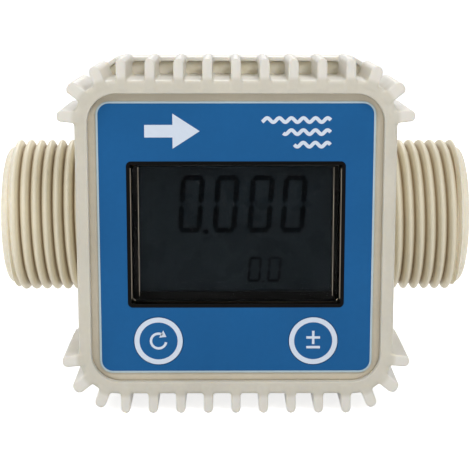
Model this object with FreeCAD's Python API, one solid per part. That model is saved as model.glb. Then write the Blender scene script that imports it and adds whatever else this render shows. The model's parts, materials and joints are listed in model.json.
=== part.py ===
"""Turbine flow meter: a threaded nylon body with a turbine cartridge, under a display unit in a finned boot.

Millimetres. X runs along the pipe from the inlet (-X) to the outlet (+X), the display faces -Y, and +Z is up.
Every shape is drawn about the pipe's axis; save() then moves it so that the origin lies at the middle of the
base. Depths called *_y are Y positions from the pipe's axis, so the front of the meter has negative ones.
"""

import FreeCAD, Part
import math
import os

V = FreeCAD.Vector
ALONG_X, ALONG_Y, ALONG_Z = V(1, 0, 0), V(0, 1, 0), V(0, 0, 1)

# Fits
slip = 0.2                    # gap all round where one still piece drops into another
running = 0.05                # radial gap of the shaft in its bushes
face_gap = 0.1                # gap between faces that are held apart by a third piece

# Pipe: 1 inch parallel pipe thread (G1) at both ends
pipe_length = 100.0
thread_diameter = 33.249
thread_gap = 0.4              # plain pipe between the boot's side and the thread
plain_radius = 16.4           # of the pipe between the two threads
lead_in_length = 0.6          # chamfer at each thread's start, along the pipe
lead_in_depth = 1.6           # and across it
nose_length = 1.4             # smooth nose in front of each thread
nose_round = 1.3
mouth_radius = 12.7
mouth_chamfer = 0.6
neck_radius = 12.45           # between a retaining ring's groove and the port

# Turbine cartridge
chamber_radius = 11.6         # bore around the rotor
chamber_half = 10.0           # from the middle to each stator's seat
seat_radius = 12.2
stator_length = 13.4
stator_ring_wall = 0.95
vane_count = 5
vane_thickness = 1.2
vane_setback = 1.0
vane_edge_round = 0.54
stator_hub_radius = 4.4
hub_overhang = 1.0            # how far a stator's hub reaches inwards past its ring
bullet_length = 6.0           # of the hub's rounded end
bush_radius = 2.4
bush_length = 4.0
shaft_radius = 1.0
shaft_half = 12.6
end_pocket = 0.8              # free space past each end of the shaft
rotor_half = 7.0
rotor_hub_radius = 5.0
rotor_hub_chamfer = 1.2
rotor_collar_radius = 2.2
rotor_end_play = 0.2
blade_count = 6
blade_half = 6.0              # half the blades' length along the pipe
blade_thickness = 1.3
blade_end_thickness = 0.7
blade_sections = 7
blade_twist = 64.0            # degrees that a blade turns from end to end
tip_gap = 0.4
magnet_radius = 1.2
magnet_inner = 1.7            # from the axis to a magnet's inner end
retaining_ring_width = 1.0
retaining_ring_wall = 1.9
groove_depth = 1.1            # of the ring's groove, from the seat's wall
ring_opening = 44.0           # degrees that are missing from a retaining ring
ring_eye_radius = 0.55        # of the hole in each eye
ring_eye_wall = 0.77

# Display unit, from its label backwards
label_y = -30.0
label_margin = 2.4            # from the housing's side to the label's
label_corner = 4.0
label_thickness = 0.3
display_half = 30.0
display_corner = 6.5
display_edge_round = 0.8
housing_wall = 2.2
front_wall = 2.0
window_side = 8.1             # from the housing's side to the window's
window_above = 14.19
window_below = 15.95
window_corner = 1.0
window_ledge = 0.9            # width of the ledge that the lens lies on
rebate_depth = 1.0
lens_thickness = 1.2
lens_gap = 0.1
lcd_side = 2.3                # from the window's side to what shows of the liquid-crystal glass
lcd_below = 2.75
lcd_above = 0.61
lcd_bezel = 0.6
lcd_frame_depth = 2.9
lcd_frame_side = 3.9
lcd_frame_below = 3.6
lcd_frame_above = 3.1
glass_thickness = 1.8
glass_overlap = 1.9           # of the glass behind its bezel
strip_height = 1.4
board_thickness = 1.6
board_margin = 0.6            # between the board and the housing's wall

# Keys
key_side = 14.2               # from the housing's side to a key's middle
key_below = 8.9
key_radius = 5.0
key_gap = 0.1
key_skirt = 0.7               # how much wider its rear flange is
key_skirt_thickness = 0.5
key_travel = 0.4
switch_half = 3.0
switch_height = 1.6
switch_floor = 0.25
plunger_radius = 1.7

# Batteries: two AAA cells
cell_radius = 5.25
cell_length = 44.5
cell_nub_length = 1.0
cell_nub_radius = 1.9
cell_edge_round = 0.5
cell_contact = 0.95           # depth of the spring and of the stud at a cell's ends
contact_sheet = 0.4
contact_half = 3.0
spring_tip_radius = 2.0
tray_floor = 1.35
tray_wall = 1.15
tray_end_wall = 1.4
tray_height = 8.6
tray_web = 0.2                # the tray's thinnest place, between a cell and the cover
tray_strap = 3.0
tray_strap_thickness = 1.0

# Back of the display unit
cover_thickness = 1.2
gasket_thickness = 0.6
gasket_width = 1.6
ledge_thickness = 1.2
boss_side = 8.0               # from the housing's side to a screw boss's middle
boss_end = 4.2                # and from its top or bottom
boss_radius = 2.9
pickup_half_x = 4.0
pickup_half_z = 3.0

# Screws
screw_radius = 1.25
screw_grip = 11.5             # length in the boss
screw_end_room = 1.0          # between a screw's end and the bottom of its hole
screw_head_radius = 2.4
screw_head_height = 2.0
screw_head_round = 0.7
driver_well_radius = 2.7
driver_well_wall = 1.2

# Meter body
rim_front_y = -11.5
socket_depth = 3.0            # how far the display unit sinks into the body
socket_floor = 3.0
rim_setback = 3.5             # from the boot's side to the rim's
rim_corner = 5.0
rim_depth = 7.0
rim_drop = 0.2                # the rim lies this much below the pipe's axis, level with the lower fins
rim_flange = 1.6
shell_inset_x = 1.2           # from the rim to the shell behind it
shell_inset_z = 2.8
shell_taper = 1.0
shell_wall = 2.2
shell_back_y = 20.0
shell_edge_round = 2.0
web_half = 1.5

# Boot
boot_wall = 1.8
boot_corner = 8.0
boot_stand = 1.5              # how far its face stands in front of the label
lip_overlap = 0.6
lip_corner = 5.8
boot_edge_round = 0.7
fin_reach = 4.0               # from the boot's wall to a straight fin's tip
fin_count = 9
fin_margin = 1.4              # from the outermost fin's middle to the boot's rounded corner
fin_root_width = 2.0
fin_tip_width = 1.7
fin_root_sink = 0.9
corner_fin_angles = (4.0, 36.0, 69.0)
corner_fin_reach = 3.4
collar_wall = 1.0
collar_lap = 1.0              # how far the collar reaches forward over the fins' ends
pipe_gap = 0.3

# Worked out from the values above
thread_radius = thread_diameter / 2
pipe_half = pipe_length / 2
groove_x = chamber_half + stator_length + face_gap
groove_end = groove_x + retaining_ring_width + face_gap
groove_radius = seat_radius + groove_depth
label_half = display_half - label_margin
window_half_x = display_half - window_side
window_top = display_half - window_above
window_bottom = window_below - display_half
window_half_z = (window_top - window_bottom) / 2
window_z = (window_top + window_bottom) / 2
lcd_half_x = window_half_x - lcd_side
lcd_bottom = window_bottom + lcd_below
lcd_top = window_top - lcd_above
key_x = display_half - key_side
key_z = key_below - display_half
boss_x = display_half - boss_side
boss_z = display_half - boss_end
display_y = label_y + label_thickness
wall_back_y = display_y + front_wall
frame_y = wall_back_y + face_gap
board_y = frame_y + lcd_frame_depth
board_back_y = board_y + board_thickness
cell_y = board_back_y + tray_floor + slip + cell_radius
socket_y = rim_front_y + socket_depth
socket_back_y = socket_y + socket_floor
cover_back_y = socket_y - slip
cover_y = cover_back_y - cover_thickness
gasket_y = cover_y - gasket_thickness
ledge_y = gasket_y - ledge_thickness
inner_half = display_half - housing_wall
inner_corner = display_corner - housing_wall
saddle_radius = plain_radius + pipe_gap
cover_arch_radius = saddle_radius + cover_thickness
cell_seat_radius = cover_arch_radius + slip + tray_web + slip + cell_radius
cell_z = math.sqrt(cell_seat_radius ** 2 - cell_y ** 2)
skirt_y = wall_back_y + face_gap
skirt_back_y = skirt_y + key_skirt_thickness
switch_y = board_y - switch_height
plunger_end_y = board_y - switch_floor - key_travel - face_gap
contact_x = cell_length / 2 + cell_contact
boot_half = display_half + slip + boot_wall
boot_y = label_y - boot_stand
fin_pitch = 2 * (boot_half - boot_corner - fin_margin) / (fin_count - 1)
fin_tip = boot_half + fin_reach
port_x = boot_half
thread_end = port_x + thread_gap
thread_start = pipe_half - nose_length - lead_in_length
rim_half_x = boot_half - rim_setback
rim_half_z = fin_tip - rim_drop
rim_back_y = rim_front_y + rim_depth
shell_y = rim_back_y + rim_flange
body_half_x = rim_half_x - shell_inset_x
body_half_z = rim_half_z - shell_inset_z
far = pipe_length             # longer than anything it cuts

# From the pipe's axis to the frame's origin
to_frame = V(0, -(boot_y + shell_back_y) / 2, fin_tip)

CORNERS = ((1, 1), (-1, 1), (-1, -1), (1, -1))


def outline(half_x, half_z, corner, y, drop=0.0):
    """Closed rounded rectangle across the Y axis."""
    edges, ends = [], []
    diagonal = corner * math.sqrt(0.5)
    for sx, sz in CORNERS:
        cx, cz = sx * (half_x - corner), sz * (half_z - corner) - drop
        side = V(cx + sx * corner, y, cz)
        level = V(cx, y, cz + sz * corner)
        middle = V(cx + sx * diagonal, y, cz + sz * diagonal)
        first, last = (side, level) if sx == sz else (level, side)
        edges.append(Part.Arc(first, middle, last).toShape())
        ends.append((first, last))
    for n in range(4):
        edges.append(Part.LineSegment(ends[n][1], ends[(n + 1) % 4][0]).toShape())
    return Part.Wire(Part.__sortEdges__(edges))


def plate(half_x, half_z, corner, y0, y1, drop=0.0):
    return Part.Face(outline(half_x, half_z, corner, y0, drop)).extrude(V(0, y1 - y0, 0))


def block(x0, x1, y0, y1, z0, z1):
    return Part.makeBox(x1 - x0, y1 - y0, z1 - z0, V(x0, y0, z0))


def rod_x(radius, x0, x1, y=0.0, z=0.0):
    return Part.makeCylinder(radius, x1 - x0, V(x0, y, z), ALONG_X)


def rod_y(radius, y0, y1, x=0.0, z=0.0):
    return Part.makeCylinder(radius, y1 - y0, V(x, y0, z), ALONG_Y)


def turned(points):
    """Solid of revolution about the pipe's axis from (x, radius) points."""
    ring = [V(x, 0, r) for x, r in points]
    return Part.Face(Part.makePolygon(ring + ring[:1])).revolve(V(), ALONG_X, 360)


def fuse(shapes):
    return shapes[0].multiFuse(shapes[1:]).removeSplitter() if len(shapes) > 1 else shapes[0]


def round_edges(shape, radius, wanted):
    edges = [edge for edge in shape.Edges if all(wanted(v.Point) for v in edge.Vertexes)]
    return shape.makeFillet(radius, edges)


def mirrored(shape):
    """The same piece for the outlet's side."""
    return shape.mirror(V(), ALONG_X)


def turn_x(shape, angle):
    return shape.rotated(V(), ALONG_X, angle)


def bosses(radius, y0, y1):
    return [rod_y(radius, y0, y1, sx * boss_x, sz * boss_z) for sx, sz in CORNERS]


def over_pipe(y, radius):
    """All the space behind a sheet that lies flat at y and arches over the pipe at this radius."""
    return fuse([block(-far, far, y, y + far, -far, far), rod_x(radius, -far, far)])


def arched_sheet(y, thickness, radius):
    """A sheet, its back flat at y, arched over the pipe with this inner radius."""
    return over_pipe(y - thickness, radius + thickness).cut(over_pipe(y, radius))


def seal_face(half, corner, boss_clearance, y0, y1):
    """The housing's inside, less the four screw bosses."""
    return plate(half, half, corner, y0, y1).cut(fuse(bosses(boss_clearance, y0, y1)))


def save(name, shape):
    shape = shape.copy()
    shape.translate(to_frame)
    shape.exportStep("parts/%s.step" % name)


# Meter body -------------------------------------------------------------------------------------------

def pipe_outside():
    """The plain middle of the pipe, between the two ports."""
    return rod_x(plain_radius, -port_x, port_x)


def pipe_inside():
    """Rotor chamber, the two stator seats, the ring grooves and the necks."""
    half = turned([(0, 0), (0, chamber_radius), (chamber_half, chamber_radius), (chamber_half, seat_radius),
                   (groove_x - face_gap, seat_radius), (groove_x - face_gap, groove_radius),
                   (groove_end, groove_radius), (groove_end, neck_radius),
                   (port_x, neck_radius), (port_x, 0)])
    return fuse([half, mirrored(half)])


def port():
    """Threaded end of the pipe: the thread's envelope, lead-in, smooth nose and mouth. Outlet side."""
    nose_radius = thread_radius - lead_in_depth
    outside = turned([(port_x, 0), (port_x, plain_radius), (thread_end, plain_radius),
                      (thread_end, thread_radius), (thread_start, thread_radius),
                      (thread_start + lead_in_length, nose_radius), (pipe_half, nose_radius), (pipe_half, 0)])
    outside = round_edges(outside, nose_round, lambda p: abs(p.x - pipe_half) < 1e-6)
    mouth = turned([(port_x, 0), (port_x, mouth_radius), (pipe_half - mouth_chamfer, mouth_radius),
                    (pipe_half, mouth_radius + mouth_chamfer), (pipe_half, 0)])
    return outside.cut(mouth)


def shell(inset, y0, y1):
    """The tapered box behind the rim, or its inside."""
    start = outline(body_half_x - inset, body_half_z - inset, rim_corner - inset, y0, rim_drop)
    end = outline(body_half_x - shell_taper - inset, body_half_z - shell_taper - inset,
                  rim_corner - inset, y1, rim_drop)
    return Part.makeLoft([start, end], True, True)


def meter_body():
    outer = shell(0, socket_y, shell_back_y)
    outer = round_edges(outer, shell_edge_round, lambda p: abs(p.y - shell_back_y) < 1e-6)
    socket_half = boot_half
    rim_inset = collar_wall + face_gap
    rim = plate(rim_half_x - rim_inset, rim_half_z - rim_inset, rim_corner - rim_inset,
                rim_front_y, rim_back_y, rim_drop)
    flange = plate(rim_half_x, rim_half_z, rim_corner, rim_back_y, shell_y, rim_drop)
    socket = plate(socket_half, socket_half, boot_corner, rim_front_y, socket_back_y)
    body = fuse([outer, rim, flange, socket, pipe_outside()])

    wells = bosses(driver_well_radius + driver_well_wall, socket_y, shell_back_y)
    web = block(-body_half_x, body_half_x, 0, shell_back_y, -web_half, web_half)
    hollow = shell(shell_wall, socket_y, shell_back_y - shell_wall)
    hollow = hollow.cut(fuse([pipe_outside(), web] + wells))
    display_half_inside = display_half + slip
    pocket = plate(display_half_inside, display_half_inside, display_corner + slip, rim_front_y, socket_y)
    pocket = pocket.cut(pipe_outside())
    body = body.cut(hollow).cut(pocket).cut(pipe_inside())
    holes = bosses(screw_radius + slip, socket_y, socket_back_y)
    drivers = bosses(driver_well_radius, socket_back_y, shell_back_y)
    return body.cut(fuse(holes + drivers))


# Turbine cartridge ------------------------------------------------------------------------------------

def stator():
    """Flow straightener: ring, vanes and a bullet-nosed hub with a pocket for the bush. Outlet side."""
    x0, x1 = chamber_half, chamber_half + stator_length
    ring_out = seat_radius - running
    ring_in = ring_out - stator_ring_wall
    ring = rod_x(ring_out, x0, x1).cut(rod_x(ring_in, x0, x1))
    hub_start = x0 - hub_overhang
    nose_start = x1 - bullet_length
    tip, shoulder = V(x1, 0, 0), V(nose_start, 0, stator_hub_radius)
    start, middle = V(hub_start, 0, stator_hub_radius), V(hub_start, 0, 0)
    nose = Part.Ellipse(tip, shoulder, V(nose_start, 0, 0))
    profile = [Part.ArcOfEllipse(nose, 0, math.pi / 2).toShape()]
    for a, b in ((shoulder, start), (start, middle), (middle, tip)):
        profile.append(Part.LineSegment(a, b).toShape())
    hub = Part.Face(Part.Wire(profile)).revolve(V(), ALONG_X, 360)
    vane_end = nose_start - vane_setback
    vane = block(x0 + vane_setback, vane_end, -vane_thickness / 2, vane_thickness / 2,
                 stator_hub_radius / 2, ring_in + stator_ring_wall / 2)
    vane = round_edges(vane, vane_edge_round, lambda p: abs(p.x - vane_end) < 1e-6)
    vanes = [turn_x(vane, n * 360.0 / vane_count) for n in range(vane_count)]
    bush_pocket = rod_x(bush_radius, hub_start, hub_start + bush_length)
    end_room = rod_x(shaft_radius + slip, hub_start, shaft_half + end_pocket)
    return fuse([ring, hub] + vanes).cut(fuse([bush_pocket, end_room]))


def bush():
    x0 = chamber_half - hub_overhang
    return rod_x(bush_radius, x0, x0 + bush_length).cut(
        rod_x(shaft_radius + running, x0, x0 + bush_length))


def blade():
    """One helical blade: rectangular sections set along the pipe, each turned a little further."""
    tip = chamber_radius - tip_gap
    sections = []
    for n in range(blade_sections):
        along = 2 * n / (blade_sections - 1) - 1
        x = along * blade_half
        half = (blade_thickness - (blade_thickness - blade_end_thickness) * along ** 2) / 2
        corners = [V(x, -half, rotor_hub_radius - 1), V(x, half, rotor_hub_radius - 1),
                   V(x, half, tip + 1), V(x, -half, tip + 1)]
        section = Part.makePolygon(corners + corners[:1])
        sections.append(section.rotated(V(), ALONG_X, blade_twist * along / 2))
    return Part.makeLoft(sections, True, False).common(rod_x(tip, -blade_half, blade_half))


def magnets():
    """Two magnets set radially in the hub, between the blades."""
    rod = Part.makeCylinder(magnet_radius, rotor_hub_radius, V(0, 0, magnet_inner), ALONG_Z)
    half_step = 180.0 / blade_count
    return [turn_x(rod, half_step + side) for side in (0, 180)]


def turbine_rotor():
    collar_end = chamber_half - hub_overhang - rotor_end_play
    half_hub = turned([(0, 0), (0, rotor_hub_radius), (rotor_half - rotor_hub_chamfer, rotor_hub_radius),
                       (rotor_half, rotor_hub_radius - rotor_hub_chamfer), (rotor_half, rotor_collar_radius),
                       (collar_end, rotor_collar_radius), (collar_end, 0)])
    blades = [turn_x(blade(), n * 360.0 / blade_count) for n in range(blade_count)]
    rotor = fuse([half_hub, mirrored(half_hub)] + blades)
    return rotor.cut(rod_x(shaft_radius, -far, far)).cut(fuse(magnets()))


def rotor_magnets():
    hub = rod_x(rotor_hub_radius, -rotor_half, rotor_half)
    return Part.makeCompound([rod.common(hub) for rod in magnets()])


def retaining_ring():
    """Open spring ring with two eyes, in the groove outside the outlet stator."""
    x0, x1 = groove_x, groove_x + retaining_ring_width - face_gap
    outer = groove_radius - face_gap
    inner = outer - retaining_ring_wall
    half = math.radians(ring_opening / 2)
    gap = Part.makePolygon([V(x0, 0, 0), V(x0, far * math.sin(half), far * math.cos(half)),
                            V(x0, -far * math.sin(half), far * math.cos(half)), V(x0, 0, 0)])
    ring = rod_x(outer, x0, x1).cut(rod_x(inner, x0, x1))
    ring = ring.cut(Part.Face(gap).extrude(V(x1 - x0, 0, 0)))
    eye_radius = ring_eye_radius + ring_eye_wall
    eye_angle = half + eye_radius / inner
    eyes, holes = [], []
    for side in (-1, 1):
        y = side * inner * math.sin(eye_angle)
        z = inner * math.cos(eye_angle)
        eyes.append(rod_x(eye_radius, x0, x1, y, z))
        holes.append(rod_x(ring_eye_radius, x0, x1, y, z))
    return fuse([ring] + eyes).cut(fuse(holes))


# Display unit -----------------------------------------------------------------------------------------

def key_holes(y0, y1):
    return [rod_y(key_radius + key_gap, y0, y1, side * key_x, key_z) for side in (-1, 1)]


def window(inset, y0, y1):
    cut = plate(window_half_x - inset, window_half_z - inset, window_corner, y0, y1)
    cut.translate(V(0, 0, window_z))
    return cut


def display_housing():
    outer = plate(display_half, display_half, display_corner, display_y, cover_back_y)
    outer = round_edges(outer, display_edge_round, lambda p: abs(p.y - display_y) < 1e-6)
    inside = plate(inner_half, inner_half, inner_corner, wall_back_y, cover_back_y)
    box = outer.cut(inside)
    posts = fuse(bosses(boss_radius, wall_back_y, cover_back_y)).common(outer)
    key_room = [rod_y(key_radius + key_skirt + slip, wall_back_y, skirt_back_y + key_travel + slip,
                      side * key_x, key_z) for side in (-1, 1)]
    posts = posts.cut(fuse(key_room))
    ledge = seal_face(inner_half, inner_corner, boss_radius - slip, ledge_y - saddle_radius, cover_back_y)
    ledge = ledge.cut(seal_face(inner_half - gasket_width, inner_corner - gasket_width,
                                boss_radius + gasket_width, ledge_y - saddle_radius, cover_back_y))
    sheet = arched_sheet(gasket_y, ledge_thickness, cover_arch_radius + gasket_thickness)
    ledge = ledge.common(sheet)
    box = fuse([box, posts, ledge])
    box = box.cut(over_pipe(cover_back_y, saddle_radius))
    box = box.cut(fuse([window(0, display_y, display_y + rebate_depth),
                        window(window_ledge, display_y, wall_back_y)]))
    box = box.cut(fuse(key_holes(display_y, wall_back_y)))
    pilot = bosses(screw_radius + running, cover_back_y - screw_grip - screw_end_room, cover_back_y)
    return box.cut(fuse(pilot))


def front_label():
    sheet = plate(label_half, label_half, label_corner, label_y, display_y)
    return sheet.cut(window(0, label_y, display_y)).cut(fuse(key_holes(label_y, display_y)))


def display_lens():
    back = display_y + rebate_depth
    return window(lens_gap, back - lens_thickness, back)


def lcd_frame():
    bottom, top = lcd_bottom - lcd_frame_below, lcd_top + lcd_frame_above
    half = lcd_half_x + lcd_frame_side
    frame = block(-half, half, frame_y, board_y, bottom, top)
    opening = block(-lcd_half_x, lcd_half_x, frame_y, board_y, lcd_bottom, lcd_top)
    gap = glass_overlap + face_gap
    pocket = block(-lcd_half_x - gap, lcd_half_x + gap, frame_y + lcd_bezel, board_y,
                   lcd_bottom - gap, lcd_top + gap)
    return frame.cut(opening).cut(pocket)


def glass_back_y():
    return frame_y + lcd_bezel + glass_thickness


def lcd_glass():
    return block(-lcd_half_x - glass_overlap, lcd_half_x + glass_overlap, frame_y + lcd_bezel, glass_back_y(),
                 lcd_bottom - glass_overlap, lcd_top + glass_overlap)


def contact_strips():
    """Conductive rubber strips between the glass and the board, above and below."""
    strips = []
    for edge, side in ((lcd_bottom - glass_overlap, 1), (lcd_top + glass_overlap, -1)):
        z0, z1 = sorted((edge, edge + side * strip_height))
        strips.append(block(-lcd_half_x, lcd_half_x, glass_back_y(), board_y, z0, z1))
    return Part.makeCompound(strips)


def circuit_board():
    half = inner_half - board_margin
    board = plate(half, half, inner_corner - board_margin, board_y, board_back_y)
    return board.cut(fuse(bosses(boss_radius + slip, board_y, board_back_y)))


def key(side):
    x = side * key_x
    cap = rod_y(key_radius, label_y, skirt_y, x, key_z)
    skirt = rod_y(key_radius + key_skirt, skirt_y, skirt_back_y, x, key_z)
    return fuse([cap, skirt])


def key_switch(side):
    x = side * key_x
    body = block(x - switch_half, x + switch_half, switch_y, board_y,
                 key_z - switch_half, key_z + switch_half)
    return body.cut(rod_y(plunger_radius + face_gap, switch_y, board_y - switch_floor, x, key_z))


def plunger(side):
    return rod_y(plunger_radius, skirt_back_y, plunger_end_y, side * key_x, key_z)


def cell(side):
    """An AAA cell; the upper one has its positive end at the outlet, the lower one at the inlet."""
    half = cell_length / 2
    can = rod_x(cell_radius, -half, half - cell_nub_length, cell_y, side * cell_z)
    can = can.makeFillet(cell_edge_round, can.Edges)
    nub = rod_x(cell_nub_radius, half - 2 * cell_nub_length, half, cell_y, side * cell_z)
    whole = fuse([can, nub])
    return whole if side > 0 else mirrored(whole)


def cell_tray():
    """Two open troughs for the cells, joined by two straps."""
    outer = cell_radius + slip + tray_wall
    end = contact_x + contact_sheet + tray_end_wall
    trough_end = contact_x + contact_sheet
    pieces, cuts = [], []
    for side in (-1, 1):
        z = side * cell_z
        pieces.append(block(-end, end, board_back_y, board_back_y + tray_height, z - outer, z + outer))
        cuts.append(rod_x(cell_radius + slip, -trough_end, trough_end, cell_y, z))
        cuts.append(block(-trough_end, trough_end, cell_y, cell_y + far, z - cell_radius - slip,
                          z + cell_radius + slip))
    for side in (-1, 1):
        x = side * (end - tray_strap / 2)
        pieces.append(block(x - tray_strap / 2, x + tray_strap / 2, board_back_y,
                            board_back_y + tray_strap_thickness, -cell_z, cell_z))
    clearances = bosses(boss_radius + slip, board_back_y, cover_back_y)
    clearances.append(rod_x(cover_arch_radius + slip, -far, far))
    room = plate(inner_half - slip, inner_half - slip, inner_corner - slip, board_back_y, cover_back_y)
    return fuse(pieces).common(room).cut(fuse(cuts + clearances))


def contact_plate(z):
    """The sheet-metal square behind a cell's end at this height. Outlet side."""
    return block(contact_x, contact_x + contact_sheet, cell_y - contact_half, cell_y + contact_half,
                 z - contact_half, z + contact_half)


def stud_contacts():
    """At each cell's positive end."""
    made = []
    for side in (-1, 1):
        z = side * cell_z
        piece = fuse([contact_plate(z), rod_x(cell_nub_radius, cell_length / 2, contact_x, cell_y, z)])
        made.append(piece if side > 0 else mirrored(piece))
    return Part.makeCompound(made)


def spring_contacts():
    """At each cell's negative end: a conical spring that is squeezed almost flat, as its envelope."""
    made = []
    for side in (-1, 1):
        z = side * cell_z
        spring = Part.makeCone(spring_tip_radius, contact_half, cell_contact,
                               V(cell_length / 2, cell_y, z), ALONG_X)
        piece = fuse([contact_plate(z), spring])
        made.append(mirrored(piece) if side > 0 else piece)
    return Part.makeCompound(made)


def pickup_sensor():
    """Field sensor on the board's back, shaped to the arch over the pipe."""
    body = block(-pickup_half_x, pickup_half_x, board_back_y, 0, -pickup_half_z, pickup_half_z)
    return body.cut(rod_x(cover_arch_radius + slip, -far, far))


def rear_cover():
    area = seal_face(inner_half - slip, inner_corner - slip, boss_radius + slip,
                     -cover_arch_radius, cover_back_y)
    return area.common(arched_sheet(cover_back_y, cover_thickness, saddle_radius))


def case_gasket():
    reach = cover_arch_radius + gasket_thickness
    area = seal_face(inner_half - slip, inner_corner - slip, boss_radius + slip, -reach, cover_back_y)
    area = area.cut(seal_face(inner_half - gasket_width, inner_corner - gasket_width,
                              boss_radius + gasket_width, -reach, cover_back_y))
    return area.common(arched_sheet(cover_y, gasket_thickness, cover_arch_radius))


def case_screws():
    screws = []
    for sx, sz in CORNERS:
        x, z = sx * boss_x, sz * boss_z
        shank = rod_y(screw_radius, cover_back_y - screw_grip, socket_back_y, x, z)
        head = rod_y(screw_head_radius, socket_back_y, socket_back_y + screw_head_height, x, z)
        head = round_edges(head, screw_head_round,
                           lambda p: abs(p.y - socket_back_y - screw_head_height) < 1e-6)
        screws.append(fuse([shank, head]))
    return Part.makeCompound(screws)


# Boot -------------------------------------------------------------------------------------------------

def fin(length, y0, y1):
    """A tapered fin with a round tip, standing on the origin and pointing up."""
    root, tip = fin_root_width / 2, fin_tip_width / 2
    shoulder = length - tip
    sides = [V(-tip, y0, shoulder), V(-root, y0, 0), V(root, y0, 0), V(tip, y0, shoulder)]
    edges = [Part.LineSegment(a, b).toShape() for a, b in zip(sides, sides[1:])]
    edges.append(Part.Arc(sides[3], V(0, y0, length), sides[0]).toShape())
    return Part.Face(Part.Wire(edges)).extrude(V(0, y1 - y0, 0))


def fins():
    made = []
    straight = fin(fin_reach + fin_root_sink, boot_y, rim_front_y)
    slanted = fin(corner_fin_reach + fin_root_sink, boot_y, rim_front_y)
    for side in (-1, 1):
        for n in range(fin_count):
            one = straight.copy()
            one.translate(V((n - (fin_count - 1) / 2) * fin_pitch, 0, boot_half - fin_root_sink))
            made.append(one if side > 0 else one.mirror(V(), ALONG_Z))
    centre = boot_half - boot_corner
    for sx, sz in CORNERS:
        for angle in corner_fin_angles:
            one = slanted.copy()
            one.translate(V(0, 0, boot_corner - fin_root_sink))
            one = one.rotated(V(), ALONG_Y, 90 - angle)
            one.translate(V(centre, 0, centre))
            one = one if sx > 0 else one.mirror(V(), ALONG_X)
            made.append(one if sz > 0 else one.mirror(V(), ALONG_Z))
    return made


def protective_boot():
    sleeve = plate(boot_half, boot_half, boot_corner, boot_y, rim_front_y)
    sleeve = round_edges(sleeve, boot_edge_round, lambda p: abs(p.y - boot_y) < 1e-6)
    inner = display_half + slip
    lip_half = display_half - lip_overlap
    collar = plate(rim_half_x, rim_half_z, rim_corner, rim_front_y - collar_lap, rim_back_y, rim_drop)
    collar = collar.cut(plate(rim_half_x - collar_wall, rim_half_z - collar_wall, rim_corner - collar_wall,
                              rim_front_y - collar_lap, rim_back_y, rim_drop))
    collar = collar.cut(block(-far, far, rim_front_y - collar_lap, rim_back_y, -boot_half, boot_half))
    boot = fuse([sleeve, collar] + fins())
    boot = boot.cut(plate(inner, inner, display_corner + slip, display_y - face_gap, rim_front_y))
    boot = boot.cut(plate(lip_half, lip_half, lip_corner, boot_y, rim_front_y))
    return boot.cut(rod_x(saddle_radius, -far, far))


os.makedirs("parts", exist_ok=True)
save("meter_body", meter_body())
save("inlet_port", mirrored(port()))
save("outlet_port", port())
save("inlet_stator", mirrored(stator()))
save("outlet_stator", stator())
save("inlet_bush", mirrored(bush()))
save("outlet_bush", bush())
save("inlet_retaining_ring", mirrored(retaining_ring()))
save("outlet_retaining_ring", retaining_ring())
save("turbine_rotor", turbine_rotor())
save("rotor_magnets", rotor_magnets())
save("rotor_shaft", rod_x(shaft_radius, -shaft_half, shaft_half))
save("display_housing", display_housing())
save("front_label", front_label())
save("display_lens", display_lens())
save("lcd_frame", lcd_frame())
save("lcd_glass", lcd_glass())
save("contact_strips", contact_strips())
save("circuit_board", circuit_board())
save("pickup_sensor", pickup_sensor())
save("battery_tray", cell_tray())
save("upper_battery", cell(1))
save("lower_battery", cell(-1))
save("battery_studs", stud_contacts())
save("battery_springs", spring_contacts())
save("rear_cover", rear_cover())
save("case_gasket", case_gasket())
save("case_screws", case_screws())
save("protective_boot", protective_boot())
for word, place in (("reset", -1), ("cal", 1)):
    save(word + "_button", key(place))
    save(word + "_switch", key_switch(place))
    save(word + "_plunger", plunger(place))
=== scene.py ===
"""Turbine flow meter: materials, threads, soft boot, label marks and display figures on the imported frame.

Shapes are drawn in millimetres about the pipe's axis, as (x, y, z): X along the pipe, -Y out of the display,
Z up. place() turns them into the frame's metres.
"""

import json
import math
from contextlib import contextmanager

import bmesh
import bpy
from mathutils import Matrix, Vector

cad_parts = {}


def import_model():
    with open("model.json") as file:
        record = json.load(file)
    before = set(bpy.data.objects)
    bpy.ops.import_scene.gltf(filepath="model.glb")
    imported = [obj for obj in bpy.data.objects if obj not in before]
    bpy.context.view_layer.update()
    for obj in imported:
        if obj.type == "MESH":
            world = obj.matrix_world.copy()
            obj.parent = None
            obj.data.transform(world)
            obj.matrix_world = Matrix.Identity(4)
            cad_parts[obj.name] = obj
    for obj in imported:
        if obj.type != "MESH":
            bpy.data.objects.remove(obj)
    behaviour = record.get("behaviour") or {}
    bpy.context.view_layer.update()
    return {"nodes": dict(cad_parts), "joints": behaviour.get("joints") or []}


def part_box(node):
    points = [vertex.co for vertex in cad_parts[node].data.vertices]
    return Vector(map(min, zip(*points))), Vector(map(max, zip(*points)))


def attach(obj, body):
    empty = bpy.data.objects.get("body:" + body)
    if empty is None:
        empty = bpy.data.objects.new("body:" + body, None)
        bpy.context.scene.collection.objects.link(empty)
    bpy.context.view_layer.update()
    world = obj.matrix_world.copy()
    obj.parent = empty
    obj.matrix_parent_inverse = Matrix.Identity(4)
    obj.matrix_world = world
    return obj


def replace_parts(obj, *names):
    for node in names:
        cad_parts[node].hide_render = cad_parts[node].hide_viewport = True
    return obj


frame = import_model()

MM = 0.001
SPIN = next(j for j in frame["joints"] if j["name"] == "rotor_spin")
AXIS_Y, AXIS_Z = SPIN["pos_m"][1] / MM, SPIN["pos_m"][2] / MM


def place(x, y, z):
    """The frame's metres from millimetres about the pipe's axis."""
    return Vector((x, y + AXIS_Y, z + AXIS_Z)) * MM


def about_axis(point):
    """Millimetres about the pipe's axis from the frame's metres."""
    return point / MM - Vector((0, AXIS_Y, AXIS_Z))


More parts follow.
